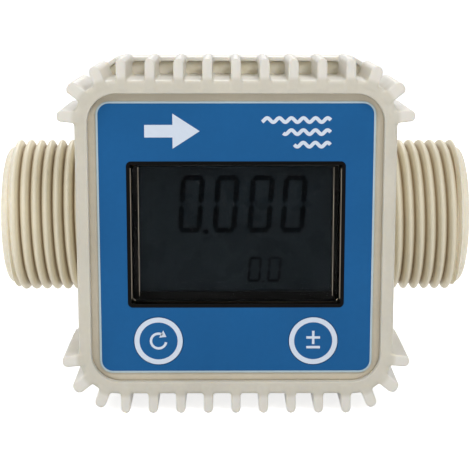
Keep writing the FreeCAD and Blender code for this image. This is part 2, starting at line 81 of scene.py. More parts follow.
def span(node):
    """A CAD node's lowest and highest corners."""
    low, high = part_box(node)
    return about_axis(low), about_axis(high)


LABEL_LOW, LABEL_HIGH = span("front_label")
LABEL_FRONT, LABEL_HALF = LABEL_LOW.y, LABEL_HIGH.x
LENS_LOW, LENS_HIGH = span("display_lens")
GLASS_FRONT = span("lcd_glass")[0].y
BOOT_FRONT = span("protective_boot")[0].y
BODY_BACK = span("meter_body")[1].y
PIPE_END = span("outlet_port")[1].x


# Materials --------------------------------------------------------------------------------------------

PATCH_SCALE, BUMP_SCALE = 70, 1400    # noise scales per metre
NOISE_LOW, NOISE_HIGH = 0.3, 0.7      # where most of a noise's values lie
DARKER = 1.6                          # the darkest grains against the patches, in spreads
BUMP_DEPTH = 0.0002
CORNER_CENTRE = 24.0                  # of the boot's rounded corners, along X and Z


def srgb(r, g, b):
    """Linear colour from 0-255 display values."""
    out = []
    for value in (r, g, b):
        c = value / 255
        out.append(c / 12.92 if c <= 0.04045 else ((c + 0.055) / 1.055) ** 2.4)
    return out


def shade(color, factor):
    return [min(1.0, c * factor) for c in color]


def color_socket(sockets, name):
    return next(s for s in sockets if s.name == name and s.type == "RGBA")


class NodeTree:
    """Short ways to add nodes to a material. An input is a value or another node's socket."""

    def __init__(self, tree):
        self.nodes, self.links = tree.nodes, tree.links
        self.spot = self.nodes.new("ShaderNodeTexCoord").outputs["Object"]

    def feed(self, socket, value):
        if isinstance(value, bpy.types.NodeSocket):
            self.links.new(value, socket)
        else:
            socket.default_value = value

    def add(self, kind, inputs, **settings):
        node = self.nodes.new(kind)
        for name, value in settings.items():
            setattr(node, name, value)
        for key, value in inputs.items():
            self.feed(node.inputs[key], value)
        return node

    def noise(self, scale, detail):
        inputs = {"Scale": scale, "Detail": detail, "Vector": self.spot}
        return self.add("ShaderNodeTexNoise", inputs).outputs["Fac"]

    def mix(self, factor, a, b):
        node = self.add("ShaderNodeMix", {"Factor": factor}, data_type="RGBA")
        for name, value in (("A", a), ("B", b)):
            color = value if isinstance(value, bpy.types.NodeSocket) else [*value, 1]
            self.feed(color_socket(node.inputs, name), color)
        return color_socket(node.outputs, "Result")

    def math(self, operation, a, b=0.0):
        return self.add("ShaderNodeMath", {0: a, 1: b}, operation=operation).outputs[0]

    def between(self, value, low, high, start=NOISE_LOW, end=NOISE_HIGH):
        """From low to high as the value goes from start to end."""
        inputs = {"Value": value, "From Min": start, "From Max": end, "To Min": low, "To Max": high}
        return self.add("ShaderNodeMapRange", inputs).outputs["Result"]

    def offset(self, axis, centre):
        """A point's distance in metres along X, Y or Z (0, 1 or 2) from a centre in millimetres."""
        apart = self.add("ShaderNodeSeparateXYZ", {0: self.spot})
        return self.math("SUBTRACT", apart.outputs[axis], centre * MM)

    def length(self, a, b):
        squares = [self.math("POWER", part, 2.0) for part in (a, b)]
        return self.math("SQRT", self.math("ADD", *squares))


def material(name, color, roughness, spread=0.08, grain=900, bump=0.05, rough_spread=0.08, tint=None,
             groove_shade=None, fin_light=None, **sockets):
    """Principled surface: patchy and fine colour variation, roughness variation and a fine bump.

    grain is the fine noise's scale per metre, and tint the colour of the patches. The groove colour is
    painted shade, darker in the hollows of a thread, given with the two radii in millimetres between which
    it gives way to the surface's own. The fin colour is painted light, lighter on the boot's fins, given with
    the two distances in millimetres, outside the square of its corner centres, between which it comes in.
    Other keywords are the shader's own sockets, with _ for a space."""
    made = bpy.data.materials.new(name)
    made.use_nodes = True
    shader = made.node_tree.nodes["Principled BSDF"]
    for socket, value in sockets.items():
        shader.inputs[socket.replace("_", " ")].default_value = value
    tree = NodeTree(made.node_tree)
    patches = tree.between(tree.noise(PATCH_SCALE, 3), 0, 1)
    fine = tree.between(tree.noise(grain, 2), 0, 1)
    base = tree.mix(patches, shade(color, 1 - spread), tint or shade(color, 1 + spread))
    dark = tree.mix(patches, shade(color, 1 - DARKER * spread), color)
    surface = tree.mix(fine, dark, base)
    # painted shade: darker in the hollows of a thread, by the distance from the pipe's axis
    if groove_shade:
        painted_groove_shade, bottom, top = groove_shade
        radius = tree.length(tree.offset(1, AXIS_Y), tree.offset(2, AXIS_Z))
        surface = tree.mix(tree.between(radius, 0, 1, bottom * MM, top * MM), painted_groove_shade, surface)
    # painted light: the boot's fins lighter where they stand out past its walls
    if fin_light:
        painted_fin_light, start, end = fin_light
        sides = [tree.math("ABSOLUTE", tree.offset(axis, centre)) for axis, centre in ((0, 0), (2, AXIS_Z))]
        past = [tree.math("MAXIMUM", tree.math("SUBTRACT", side, CORNER_CENTRE * MM)) for side in sides]
        surface = tree.mix(tree.between(tree.length(*past), 0, 1, start * MM, end * MM), surface, painted_fin_light)
    tree.feed(shader.inputs["Base Color"], surface)
    tree.feed(shader.inputs["Roughness"],
              tree.between(tree.noise(PATCH_SCALE * 3, 2), max(0.02, roughness - rough_spread),
                           roughness + rough_spread))
    if bump:
        height = tree.add("ShaderNodeBump", {"Strength": bump, "Distance": BUMP_DEPTH,
                                             "Height": tree.noise(BUMP_SCALE, 3)})
        tree.feed(shader.inputs["Normal"], height.outputs["Normal"])
    return made


M = {
    # painted light: the body's nylon lighter than the threads', to brighten it where it shows in shade
    # between the fins
    "nylon": material("nylon_ivory", srgb(245, 238, 220), 0.42, 0.05, tint=srgb(232, 222, 196),
                      Subsurface_Weight=0.25, Subsurface_Radius=(0.0022, 0.0016, 0.0009),
                      Subsurface_Scale=1.0, Specular_IOR_Level=0.35),
    # painted shade: a darker copy of the nylon for the moulded arrow, standing in for shade round its edges
    "raised": material("nylon_arrow_painted_shade", srgb(222, 212, 190), 0.5, 0.05, Subsurface_Weight=0.2,
                       Subsurface_Radius=(0.002, 0.0015, 0.001), Specular_IOR_Level=0.35),
    # the threads carry painted shade: a darker tan below their crests
    "thread": material("nylon_thread", srgb(234, 225, 201), 0.42, 0.05, tint=srgb(238, 228, 202),
                       groove_shade=(srgb(150, 127, 91), 15.1, 15.95), Subsurface_Weight=0.05,
                       Subsurface_Radius=(0.0012, 0.0009, 0.0006), Subsurface_Scale=1.0,
                       Specular_IOR_Level=0.35),
    # painted shade: a darker copy of the nylon for the display housing, which shows in a shaded band inside
    # the boot's lip
    "housing": material("nylon_housing_painted_shade", srgb(206, 196, 176), 0.4, 0.05, Subsurface_Weight=0.2,
                        Subsurface_Radius=(0.002, 0.0015, 0.001), Specular_IOR_Level=0.4),
    # the boot's silicone, with painted light on its fins: a lighter colour where they stand out past its
    # walls
    "silicone": material("silicone_milky", srgb(226, 221, 207), 0.36, 0.04, bump=0.08,
                         fin_light=(srgb(243, 239, 230), 8.0, 8.8), Subsurface_Weight=0.6,
                         Subsurface_Radius=(0.003, 0.0026, 0.002), Transmission_Weight=0.2, IOR=1.41,
                         Specular_IOR_Level=0.45),
    "label": material("label_film", srgb(27, 91, 146), 0.42, 0.05, bump=0.04, Specular_IOR_Level=0.1),
    "print": material("white_print", srgb(212, 222, 236), 0.45, 0.03, bump=0.03, Specular_IOR_Level=0.15),
    # painted highlight: a light line along the label film's edge
    "edge": material("film_edge_painted_highlight", srgb(176, 196, 204), 0.4, 0.05, bump=0.0, Specular_IOR_Level=0.3),
    "glass": material("lcd_glass", srgb(18, 23, 26), 0.3, 0.1, bump=0.0, Specular_IOR_Level=0.03),
    "figures": material("lcd_figures", srgb(1, 3, 5), 0.35, 0.1, bump=0.0, Specular_IOR_Level=0.02),
    "black": material("black_plastic", srgb(8, 7, 7), 0.4, 0.15, bump=0.05, Specular_IOR_Level=0.05),
    "gleam": material("moulding_edge", srgb(150, 138, 120), 0.3, 0.1, bump=0.0),
    "board": material("board_green", srgb(24, 92, 52), 0.35, 0.12, Coat_Weight=0.4),
    "rubber": material("black_rubber", srgb(32, 32, 33), 0.75, 0.1, bump=0.2),
    "acetal": material("acetal_white", srgb(236, 234, 228), 0.3, 0.03, Subsurface_Weight=0.15),
    "acetal_grey": material("acetal_grey", srgb(92, 96, 100), 0.32, 0.06),
    "bronze": material("bronze", srgb(176, 134, 82), 0.45, 0.12, grain=3000, bump=0.2, Metallic=1.0),
    "steel": material("steel", srgb(200, 200, 198), 0.28, 0.06, grain=2500, bump=0.08, Metallic=1.0),
    "spring": material("spring_steel", srgb(120, 118, 114), 0.4, 0.1, grain=2500, bump=0.1, Metallic=1.0),
    "nickel": material("nickel", srgb(214, 208, 198), 0.2, 0.05, bump=0.04, Metallic=1.0),
    "jacket": material("cell_jacket", srgb(70, 78, 86), 0.3, 0.08, bump=0.03, Coat_Weight=0.5),
    "lens": material("clear_lens", (0.96, 0.97, 0.97), 0.04, 0.01, bump=0.0, rough_spread=0.01,
                     Transmission_Weight=1.0, IOR=1.04, Specular_IOR_Level=0.04),
}


# Mesh helpers -----------------------------------------------------------------------------------------

QUARTERS = ((1, 1), (-1, 1), (-1, -1), (1, -1))
ARC_STEPS = 10                        # of a rounded corner


@contextmanager
def editing(mesh):
    """A bmesh of this mesh, written back at the end."""
    work = bmesh.new()
    work.from_mesh(mesh)
    yield work
    work.to_mesh(mesh)
    work.free()


def solid_object(name, verts, faces):
    """An object from vertices as they are, its faces turned outwards."""
    mesh = bpy.data.meshes.new(name)
    mesh.from_pydata(verts, [], faces)
    with editing(mesh) as work:
        bmesh.ops.recalc_face_normals(work, faces=work.faces)
    made = bpy.data.objects.new(name, mesh)
    bpy.context.scene.collection.objects.link(made)
    return made


def finish_piece(made, look, body="case"):
    made.data.materials.clear()
    made.data.materials.append(M[look])
    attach(made, body)


def put(name, shape, look, body="case"):
    """A piece from a shape in millimetres about the pipe's axis."""
    made = solid_object(name, [place(*v) for v in shape.verts], shape.faces)
    finish_piece(made, look, body)
    return made


class Shape:
    """Vertices and faces of one or more closed solids that make one piece."""

    def __init__(self):
        self.verts, self.faces = [], []

    def add(self, verts, faces):
        start = len(self.verts)
        self.verts += verts
        self.faces += [[start + i for i in face] for face in faces]

    def prism(self, points, y0, y1):
        """A solid between two copies of an (x, z) polygon."""
        n = len(points)
        faces = [list(range(n)), list(range(2 * n - 1, n - 1, -1))]
        faces += [[i, i + n, (i + 1) % n + n, (i + 1) % n] for i in range(n)]
        self.add([(x, y, z) for y in (y0, y1) for x, z in points], faces)

    def block(self, x0, x1, z0, z1, y0, y1):
        self.prism([(x0, z0), (x1, z0), (x1, z1), (x0, z1)], y0, y1)

    def band(self, inner, outer, y0, y1, closed=True):
        """A solid strip between two (x, z) lines with the same number of points."""
        n = len(inner)
        verts = [(x, y, z) for y in (y0, y1) for line in (inner, outer) for x, z in line]
        faces = []
        for i in range(n if closed else n - 1):
            j = (i + 1) % n
            faces += [[i, j, n + j, n + i], [2 * n + i, 3 * n + i, 3 * n + j, 2 * n + j],
                      [i, 2 * n + i, 2 * n + j, j], [n + i, n + j, 3 * n + j, 3 * n + i]]
        if not closed:
            for i in (0, n - 1):
                faces.append([i, n + i, 3 * n + i, 2 * n + i])
        self.add(verts, faces)

    def stroke(self, path, width, y0, y1):
        """A line of this width along (x, z) points."""
        left, right = [], []
        for i, (x, z) in enumerate(path):
            ax, az = path[max(i - 1, 0)]
            bx, bz = path[min(i + 1, len(path) - 1)]
            length = math.hypot(bx - ax, bz - az)
            nx, nz = (az - bz) / length * width / 2, (bx - ax) / length * width / 2
            left.append((x + nx, z + nz))
            right.append((x - nx, z - nz))
        self.band(left, right, y0, y1, closed=False)

    def frame_band(self, half_x, half_z, corner, width, y0, y1, z=0.0):
        """A rounded rectangular frame, this wide inwards from its outline."""
        self.band(rounded(half_x - width, half_z - width, max(0.05, corner - width), z),
                  rounded(half_x, half_z, corner, z), y0, y1)


def rounded(half_x, half_z, corner, z):
    """Points of a rounded rectangle about (0, z)."""
    points = []
    for quarter, (sx, sz) in enumerate(QUARTERS):
        for i in range(ARC_STEPS + 1):
            angle = (quarter + i / ARC_STEPS) * math.pi / 2
            points.append((sx * (half_x - corner) + corner * math.cos(angle),
                           z + sz * (half_z - corner) + corner * math.sin(angle)))
    return points


def arc(x, z, radius, start, end, steps):
    """Points of an arc between two angles in degrees, both ends included."""
    turns = [math.radians(start + (end - start) * i / steps) for i in range(steps + 1)]
    return [(x + radius * math.cos(turn), z + radius * math.sin(turn)) for turn in turns]


def circle(x, z, radius, steps):
    return arc(x, z, radius, 0.0, 360.0, steps)[:-1]


def cad_copy(node, name):
    """A new object with a copy of a CAD node's mesh, its doubled vertices merged."""
    made = bpy.data.objects.new(name, frame["nodes"][node].data.copy())
    bpy.context.scene.collection.objects.link(made)
    with editing(made.data) as work:
        bmesh.ops.remove_doubles(work, verts=work.verts, dist=1e-6)
        bmesh.ops.recalc_face_normals(work, faces=work.faces)
    return made


def apply_modifiers(made):
    bpy.context.view_layer.update()
    graph = bpy.context.evaluated_depsgraph_get()
    mesh = bpy.data.meshes.new_from_object(made.evaluated_get(graph))
    made.modifiers.clear()
    made.data = mesh


def smooth_by_angle(mesh, degrees):
    """Smooth shading, with edges sharper than this angle left crisp."""
    with editing(mesh) as work:
        for face in work.faces:
            face.smooth = True
        for edge in work.edges:
            edge.smooth = len(edge.link_faces) == 2 and edge.calc_face_angle(0) < math.radians(degrees)


# Pipe ends with their threads -------------------------------------------------------------------------

THREAD_RADIUS = 16.6245
PITCH = 25.4 / 11
DEPTH = 0.640327 * PITCH
HALF_ANGLE = 27.5
CREST_ROUND = 0.55                    # fuller than the standard's
CREST_REACH = CREST_ROUND * math.cos(math.radians(HALF_ANGLE))
CREST_DROP = CREST_ROUND * (1 - math.sin(math.radians(HALF_ANGLE)))
FLANK = math.tan(math.radians(90 - HALF_ANGLE))
PLAIN_RADIUS = 16.4
RUN_OUT = (32.02, 33.1)               # where the thread comes up from the plain pipe
NOSE = ((48.0, THREAD_RADIUS), (48.65, 15.12))    # place and radius of both ends of the cone past the thread
NOSE_ROUND = (1.3, 1.65)              # the nose's rounding, along the pipe and across it
BORE = ((32.0, 12.7), (49.4, 12.7), (50.0, 13.3))
GROOVED = (47.2, 14.9)                # the thread's look, with its painted groove shade, ends past this place and inside this radius
AROUND, ROWS_PER_TURN, CONE_ROWS, ROUND_ROWS = 240, 18, 5, 6
PIPE_CREASE = 50                      # degrees; sharper edges stay crisp
INLET_PHASE, OUTLET_PHASE = 0.99, 1.79    # millimetres that each thread is shifted by along the pipe


def thread_drop(along):
    """How far the thread lies below its crests, at this part of a turn (0 is a crest)."""
    x = abs((along + 0.5) % 1.0 - 0.5) * PITCH
    if x <= CREST_REACH:
        return CREST_ROUND - math.sqrt(CREST_ROUND ** 2 - x ** 2)
    return min(DEPTH, CREST_DROP + (x - CREST_REACH) * FLANK)


def outside_radius(x, envelope, angle, side, phase):
    """Radius of the pipe's outside. The angle runs from +Y towards +Z, in turns."""
    fade = min(1.0, max(0.0, (x - RUN_OUT[0]) / (RUN_OUT[1] - RUN_OUT[0])))
    crest = side * x - phase - PITCH * (angle - 0.25)
    full = THREAD_RADIUS - thread_drop(crest / PITCH)
    base = PLAIN_RADIUS + (THREAD_RADIUS - PLAIN_RADIUS) * fade
    return min(envelope, base + (full - THREAD_RADIUS) * fade)


def outside_rows():
    """Places along the pipe and the largest radius at each, from the body to the end face."""
    (x0, r0), (x1, r1) = NOSE
    rows = [(BORE[0][0], PLAIN_RADIUS)]
    steps = round((x0 - RUN_OUT[0]) / PITCH * ROWS_PER_TURN)
    rows += [(RUN_OUT[0] + (x0 - RUN_OUT[0]) * i / steps, THREAD_RADIUS) for i in range(steps + 1)]
    for i in range(1, CONE_ROWS + 1):
        rows.append((x0 + (x1 - x0) * i / CONE_ROWS, r0 + (r1 - r0) * i / CONE_ROWS))
    for i in range(1, ROUND_ROWS + 1):
        turn = math.radians(90 - 90 / ROUND_ROWS * i)
        rows.append((PIPE_END - NOSE_ROUND[0] * (1 - math.cos(turn)),
                     r1 - NOSE_ROUND[1] * (1 - math.sin(turn))))
    return rows


def pipe_end(name, side, phase):
    verts = []
    rows = outside_rows()
    for x, envelope in rows:
        for k in range(AROUND):
            radius = outside_radius(x, envelope, k / AROUND, side, phase)
            turn = 2 * math.pi * (k / AROUND)
            verts.append((side * x, radius * math.cos(turn), radius * math.sin(turn)))
    for x, radius in reversed(BORE):
        for k in range(AROUND):
            turn = 2 * math.pi * k / AROUND
            verts.append((side * x, radius * math.cos(turn), radius * math.sin(turn)))
    count = len(rows) + len(BORE)
    faces = []
    for i in range(count):
        j = (i + 1) % count
        for k in range(AROUND):
            m = (k + 1) % AROUND
            faces.append([i * AROUND + k, i * AROUND + m, j * AROUND + m, j * AROUND + k])
    pipe = Shape()
    pipe.add(verts, faces)
    made = put(name, pipe, "thread")
    smooth_by_angle(made.data, PIPE_CREASE)
    made.data.materials.append(M["nylon"])
    for face in made.data.polygons:
        at = about_axis(face.center)
        if abs(at.x) > GROOVED[0] or math.hypot(at.y, at.z) < GROOVED[1]:
            face.material_index = 1
    return made


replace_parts(pipe_end("inlet_pipe_end", -1, INLET_PHASE), "inlet_port")
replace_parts(pipe_end("outlet_pipe_end", 1, OUTLET_PHASE), "outlet_port")


# Boot -------------------------------------------------------------------------------------------------

FIN_PITCH, FIN_COUNT, FIN_HALF = 5.65, 9, 0.98
FIN_FOOT, FIN_TOP, FIN_BOTTOM = 30.2, 36.35, 36.03    # distances from the pipe's axis
FIN_FRONT = 0.14                      # how far the fins stand in front of the lip
FIN_BACK = -11.5
CORNER_FOOT, CORNER_TIP, CORNER_FIN_HALF = 6.8, 11.5, 1.15    # distances from a corner's centre
CORNER_FINS = ((6, -8.0), (39, -8.0), (69, -11.5))    # angle from X and rear end of each
VOXEL, QUICK_VOXEL = 0.25, 0.35


def fin_outline(x, z, angle, foot, tip, half):
    """Round-ended (x, z) bar that leaves the point (x, z) at this angle."""
    c, s = math.cos(math.radians(angle)), math.sin(math.radians(angle))
    end = [(tip - half + half * math.cos(math.radians(t)), half * math.sin(math.radians(t)))
           for t in range(-90, 91, 30)]
    return [(x + a * c - b * s, z + a * s + b * c) for a, b in [(foot, -half), *end, (foot, half)]]


def fin_bars():
    """Straight-sided bars in the fins: the outline and the rear end of each."""
    bars = []
    for up, tip in ((-1, FIN_BOTTOM), (1, FIN_TOP)):
        for n in range(FIN_COUNT):
            x = (n - (FIN_COUNT - 1) / 2) * FIN_PITCH
            bars.append((fin_outline(x, 0, 90 * up, FIN_FOOT, tip, FIN_HALF), FIN_BACK))
        for side in (-1, 1):
            for angle, back in CORNER_FINS:
                turn = angle if side > 0 else 180 - angle
                bars.append((fin_outline(side * CORNER_CENTRE, up * CORNER_CENTRE, up * turn, CORNER_FOOT,
                                         CORNER_TIP, CORNER_FIN_HALF), back))
    return bars


def boot_piece():
    made = cad_copy("protective_boot", "soft_boot")
    front = BOOT_FRONT - FIN_FRONT
    with editing(made.data) as work:
        for outline, back in fin_bars():
            rings = [[work.verts.new(place(x, y, z)) for x, z in outline] for y in (front, back)]
            added = [work.faces.new(rings[0]), work.faces.new(rings[1][::-1])]
            for i in range(len(outline)):
                j = (i + 1) % len(outline)
                added.append(work.faces.new([rings[0][j], rings[0][i], rings[1][i], rings[1][j]]))
            bmesh.ops.recalc_face_normals(work, faces=added)
    remesh = made.modifiers.new("remesh", "REMESH")
    remesh.mode, remesh.voxel_size = "VOXEL", VOXEL * MM
    soften = made.modifiers.new("soften", "SMOOTH")
    soften.factor, soften.iterations = 0.5, 2
    fewer = made.modifiers.new("fewer", "DECIMATE")
    fewer.ratio = 0.25
    apply_modifiers(made)
    made.data.shade_smooth()
    finish_piece(made, "silicone")
    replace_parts(made, "protective_boot")


boot_piece()


# Label ------------------------------------------------------------------------------------------------

LABEL_CORNER, FILM_CORNER = 4.0, 2.4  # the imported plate's corner radius and the film's
CORNER_BAND = 0.2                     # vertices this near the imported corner's arc move to the film's
PROUD, SUNK = 0.05, 0.02              # how far marks stand in front of a surface and reach into it
PRINT = (LABEL_FRONT - PROUD, LABEL_FRONT + SUNK)
EDGE_WIDTH, EDGE_OUT = 0.38, 0.2      # the film edge's painted highlight: its width and how far out it lies

ARROW_Z, ARROW_HALF, ARROW_HEAD_HALF = 21.9, 1.25, 3.5
ARROW_TAIL, ARROW_NECK, ARROW_TIP = -18.2, -12.6, -7.2

WAVES = ((13.6, 24.1), (9.4, 21.7), (7.2, 19.2))    # length and height of each wavy line
WAVES_RIGHT, WAVE_SIZE, WAVE_LENGTH, WAVE_STROKE, WAVE_POINTS = 18.8, 0.42, 2.4, 0.72, 6


def label_film():
    """The label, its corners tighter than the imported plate's."""
    made = cad_copy("front_label", "label_film")
    for vertex in made.data.vertices:
        at = about_axis(vertex.co)
        near = Vector((abs(at.x), abs(at.z))) - Vector((1, 1)) * (LABEL_HALF - LABEL_CORNER)
        if min(near) > 1e-3 and near.length > LABEL_CORNER - CORNER_BAND:
            near *= FILM_CORNER / near.length
            near += Vector((1, 1)) * (LABEL_HALF - FILM_CORNER)
            vertex.co = place(math.copysign(near.x, at.x), at.y, math.copysign(near.y, at.z))
    finish_piece(made, "label")
    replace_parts(made, "front_label")


def label_marks():
    """A flow arrow and three wavy lines."""
    marks = Shape()
    marks.prism([(ARROW_TAIL, ARROW_Z - ARROW_HALF), (ARROW_NECK, ARROW_Z - ARROW_HALF),
                 (ARROW_NECK, ARROW_Z - ARROW_HEAD_HALF), (ARROW_TIP, ARROW_Z),
                 (ARROW_NECK, ARROW_Z + ARROW_HEAD_HALF), (ARROW_NECK, ARROW_Z + ARROW_HALF),
                 (ARROW_TAIL, ARROW_Z + ARROW_HALF)], *PRINT)
    for length, z in WAVES:
        count = int(length * WAVE_POINTS)
        path = [(WAVES_RIGHT - length + length * i / count,
                 z + WAVE_SIZE * math.sin((length * (1 - i / count)) * 2 * math.pi / WAVE_LENGTH))
                for i in range(count + 1)]
        marks.stroke(path, WAVE_STROKE, *PRINT)
    put("label_marks", marks, "print")


label_film()
# a light line round the label, painted as the highlight on the film's edge
edge = Shape()
edge.frame_band(LABEL_HALF + EDGE_OUT, LABEL_HALF + EDGE_OUT, FILM_CORNER + EDGE_OUT, EDGE_WIDTH, PRINT[0],
                LABEL_HIGH.y)
put("label_edge_painted_highlight", edge, "edge")
label_marks()


# Keys -------------------------------------------------------------------------------------------------

KEY_RING = (3.9, 4.93)                # inner and outer radius
RING_STEPS, TURN_STEPS = 72, 40
SIGN_STROKE = 0.5
TURN_RADIUS, TURN_START, TURN_END = 1.55, 60, 350
HEAD_LENGTH, HEAD_HALF, HEAD_BACK = 0.95, 0.85, 0.25
ADJUST_HALF, ADJUST_PLUS, ADJUST_MINUS = 1.4, 0.45, -1.6    # half a line's width, and where each line starts
ADJUST_LOW, ADJUST_HIGH = -0.7, 2.1   # ends of the upright line


def key_marks(name, node, body, sign):
    low, high = span(node)
    x, z = (low.x + high.x) / 2, (low.z + high.z) / 2
    shape = Shape()
    y0, y1 = low.y - PROUD, low.y + SUNK
    shape.band(*(circle(x, z, radius, RING_STEPS) for radius in KEY_RING), y0, y1)
    sign(shape, x, z, y0, y1)
    put(name, shape, "print", body=body)


def turn_back_sign(shape, x, z, y0, y1):
    """An open circle with an arrowhead."""
    shape.stroke(arc(x, z, TURN_RADIUS, TURN_START, TURN_END, TURN_STEPS), SIGN_STROKE, y0, y1)
    tip = math.radians(TURN_START)
    out = (math.cos(tip), math.sin(tip))
    along = (math.sin(tip), -math.cos(tip))
    cx, cz = x + TURN_RADIUS * out[0], z + TURN_RADIUS * out[1]
    shape.prism([(cx + a * along[0] + b * out[0], cz + a * along[1] + b * out[1])
                 for a, b in ((HEAD_LENGTH, 0), (-HEAD_BACK, HEAD_HALF), (-HEAD_BACK, -HEAD_HALF))], y0, y1)


def adjust_sign(shape, x, z, y0, y1):
    """A plus over a minus."""
    for start in (ADJUST_PLUS, ADJUST_MINUS):
        shape.block(x - ADJUST_HALF, x + ADJUST_HALF, z + start, z + start + SIGN_STROKE, y0, y1)
    for z0, z1 in ((ADJUST_LOW, ADJUST_PLUS), (ADJUST_PLUS + SIGN_STROKE, ADJUST_HIGH)):
        shape.block(x - SIGN_STROKE / 2, x + SIGN_STROKE / 2, z + z0, z + z1, y0, y1)


key_marks("reset_key_marks", "reset_button", "reset_key", turn_back_sign)
key_marks("cal_key_marks", "cal_button", "cal_key", adjust_sign)


# Display ----------------------------------------------------------------------------------------------

SLANT = 0.075
FIGURES = (GLASS_FRONT - 0.03, GLASS_FRONT + 0.01)    # front and back of the figures
LARGE, LARGE_Z, LARGE_LEFTS = (4.9, 11.85, 1.1), 0.85, (-11.9, -4.85, 2.2, 8.9)    # width, height, stroke
SMALL, SMALL_Z, SMALL_LEFTS = (2.75, 5.3, 0.55), -9.4, (2.3, 6.3)
POINTS = ((-6.15, 1.1, 0.62, 16), (5.55, -9.25, 0.3, 12))    # place, radius and steps of the decimal points

WINDOW_X = LENS_HIGH.x + 0.1
WINDOW_TOP, WINDOW_BOTTOM = LENS_HIGH.z + 0.1, LENS_LOW.z - 0.1
WINDOW_Z = (WINDOW_TOP + WINDOW_BOTTOM) / 2
WINDOW_HALF_Z = (WINDOW_TOP - WINDOW_BOTTOM) / 2
MASK_OUT, MASK_CORNER, MASK_WIDTH = 0.05, 1.0, 0.75
MASK_FRONT, MASK_BACK = LABEL_FRONT - 0.02, LENS_LOW.y + 0.03
RIM_IN, RIM_CORNER, RIM_WIDTH = 0.9, 0.3, 0.14    # a thin rim behind the lens
RIM_FRONT, RIM_BACK = LENS_HIGH.y + 0.02, LENS_HIGH.y + 1.12

UPRIGHT_EDGES = (-21.12, -19.72, 19.78, 21.1)    # of the moulding round the window, which catch the light
EDGE_HALF, EDGE_DEPTH = 0.06, 0.03
EDGE_LOW, EDGE_HIGH = -12.2, 14.4
INNER_EDGE_FRONT, OUTER_EDGE_FRONT = GLASS_FRONT - 0.62, LENS_LOW.y - 0.04
TOP_EDGE = (-19.7, 19.7, 15.02, 15.1)


def zero(shape, x, z, width, height, stroke):
    """A slanted 0 of six separate strokes, its lower left corner at (x, z)."""
    mid = height / 2
    gap = stroke * 0.14
    point = stroke * 0.5              # the pointed ends
    slope = stroke * 0.4              # how far the upright strokes stay from the ends of the figure

    def level(z0):
        inner, outer = stroke * 0.6 + gap, stroke * 0.25 + gap
        return [(outer, z0 + point), (inner, z0 + stroke), (width - inner, z0 + stroke),
                (width - outer, z0 + point), (width - inner, z0), (inner, z0)]

    def upright(x0, z0, z1):
        return [(x0 + point, z0 + gap), (x0 + stroke, z0 + point + gap), (x0 + stroke, z1 - point - gap),
                (x0 + point, z1 - gap), (x0, z1 - point - gap), (x0, z0 + point + gap)]

    right = width - stroke
    for outline in (level(height - stroke), upright(right, mid, height - slope), upright(right, slope, mid),
                    level(0), upright(0, slope, mid), upright(0, mid, height - slope)):
        shape.prism([(x + px + SLANT * pz, z + pz) for px, pz in outline], *FIGURES)


def display():
    figures = Shape()
    large_point, small_point = [circle(*point) for point in POINTS]
    for left in LARGE_LEFTS:
        zero(figures, left, LARGE_Z, *LARGE)
    figures.prism(large_point, *FIGURES)
    for left in SMALL_LEFTS:
        zero(figures, left, SMALL_Z, *SMALL)
    figures.prism(small_point, *FIGURES)
    put("display_figures", figures, "figures")

    mask = Shape()
    mask.frame_band(WINDOW_X + MASK_OUT, WINDOW_HALF_Z + MASK_OUT, MASK_CORNER, MASK_WIDTH, MASK_FRONT,
                    MASK_BACK, z=WINDOW_Z)
    mask.frame_band(WINDOW_X - RIM_IN, WINDOW_HALF_Z - RIM_IN, RIM_CORNER, RIM_WIDTH, RIM_FRONT, RIM_BACK,
                    z=WINDOW_Z)
    put("window_mask", mask, "black")

    edges = Shape()
    for x in UPRIGHT_EDGES:
        y = INNER_EDGE_FRONT if abs(x) < 20 else OUTER_EDGE_FRONT
        edges.block(x - EDGE_HALF, x + EDGE_HALF, EDGE_LOW, EDGE_HIGH, y, y + EDGE_DEPTH)
    edges.block(*TOP_EDGE, INNER_EDGE_FRONT, INNER_EDGE_FRONT + EDGE_DEPTH)
    put("bezel_edges", edges, "gleam")


display()


# Screws -----------------------------------------------------------------------------------------------

HEAD_RADIUS, HEAD_HEIGHT, SHANK_RADIUS = 2.4, 2.0, 1.25
HEAD_PROFILE = ((0.0, HEAD_RADIUS), (0.9, HEAD_RADIUS), (1.45, 2.2), (1.85, 1.7))    # from the head's seat
SCREW_STEPS, SCREW_CREASE = 32, 32
RECESS_LONG, RECESS_HALF, RECESS_DEPTH, RECESS_TAPER = 1.35, 0.26, 1.2, 0.45
BLOCK_FACES = ((0, 1, 2, 3), (7, 6, 5, 4), (0, 4, 5, 1), (1, 5, 6, 2), (2, 6, 7, 3), (3, 7, 4, 0))


def turned_screw(low_y, high_y):
    """A pan head on a plain shank, about the Y axis."""
    seat = high_y - HEAD_HEIGHT
    profile = [(low_y, 0.0), (low_y, 1.0), (low_y + 0.6, SHANK_RADIUS), (seat, SHANK_RADIUS)]
    profile += [(seat + y, radius) for y, radius in HEAD_PROFILE] + [(high_y, 1.0), (high_y, 0.0)]
    verts, rings = [], []
    for y, radius in profile:
        start = len(verts)
        turns = [2 * math.pi * k / SCREW_STEPS for k in range(SCREW_STEPS if radius else 1)]
        verts += [(radius * math.cos(turn), y, radius * math.sin(turn)) for turn in turns]
        rings.append(range(start, len(verts)))
    faces = []
    for a, b in zip(rings, rings[1:]):
        for k in range(SCREW_STEPS):
            corners = [a[k % len(a)], a[(k + 1) % len(a)], b[(k + 1) % len(b)], b[k % len(b)]]
            faces.append(list(dict.fromkeys(corners)))
    return solid_object("screw", verts, faces)


def recess_cutter(half_x, half_z, high_y):
    """One bar of the cross recess, narrower along its long side towards its bottom."""
    verts = []
    for y, factor in ((high_y + 0.5, 1.0), (high_y - RECESS_DEPTH, RECESS_TAPER)):
        x, z = (half_x * factor, half_z) if half_x > half_z else (half_x, half_z * factor)
        verts += [(sx * x, y, sz * z) for sx, sz in QUARTERS]
    return solid_object("recess", verts, BLOCK_FACES)


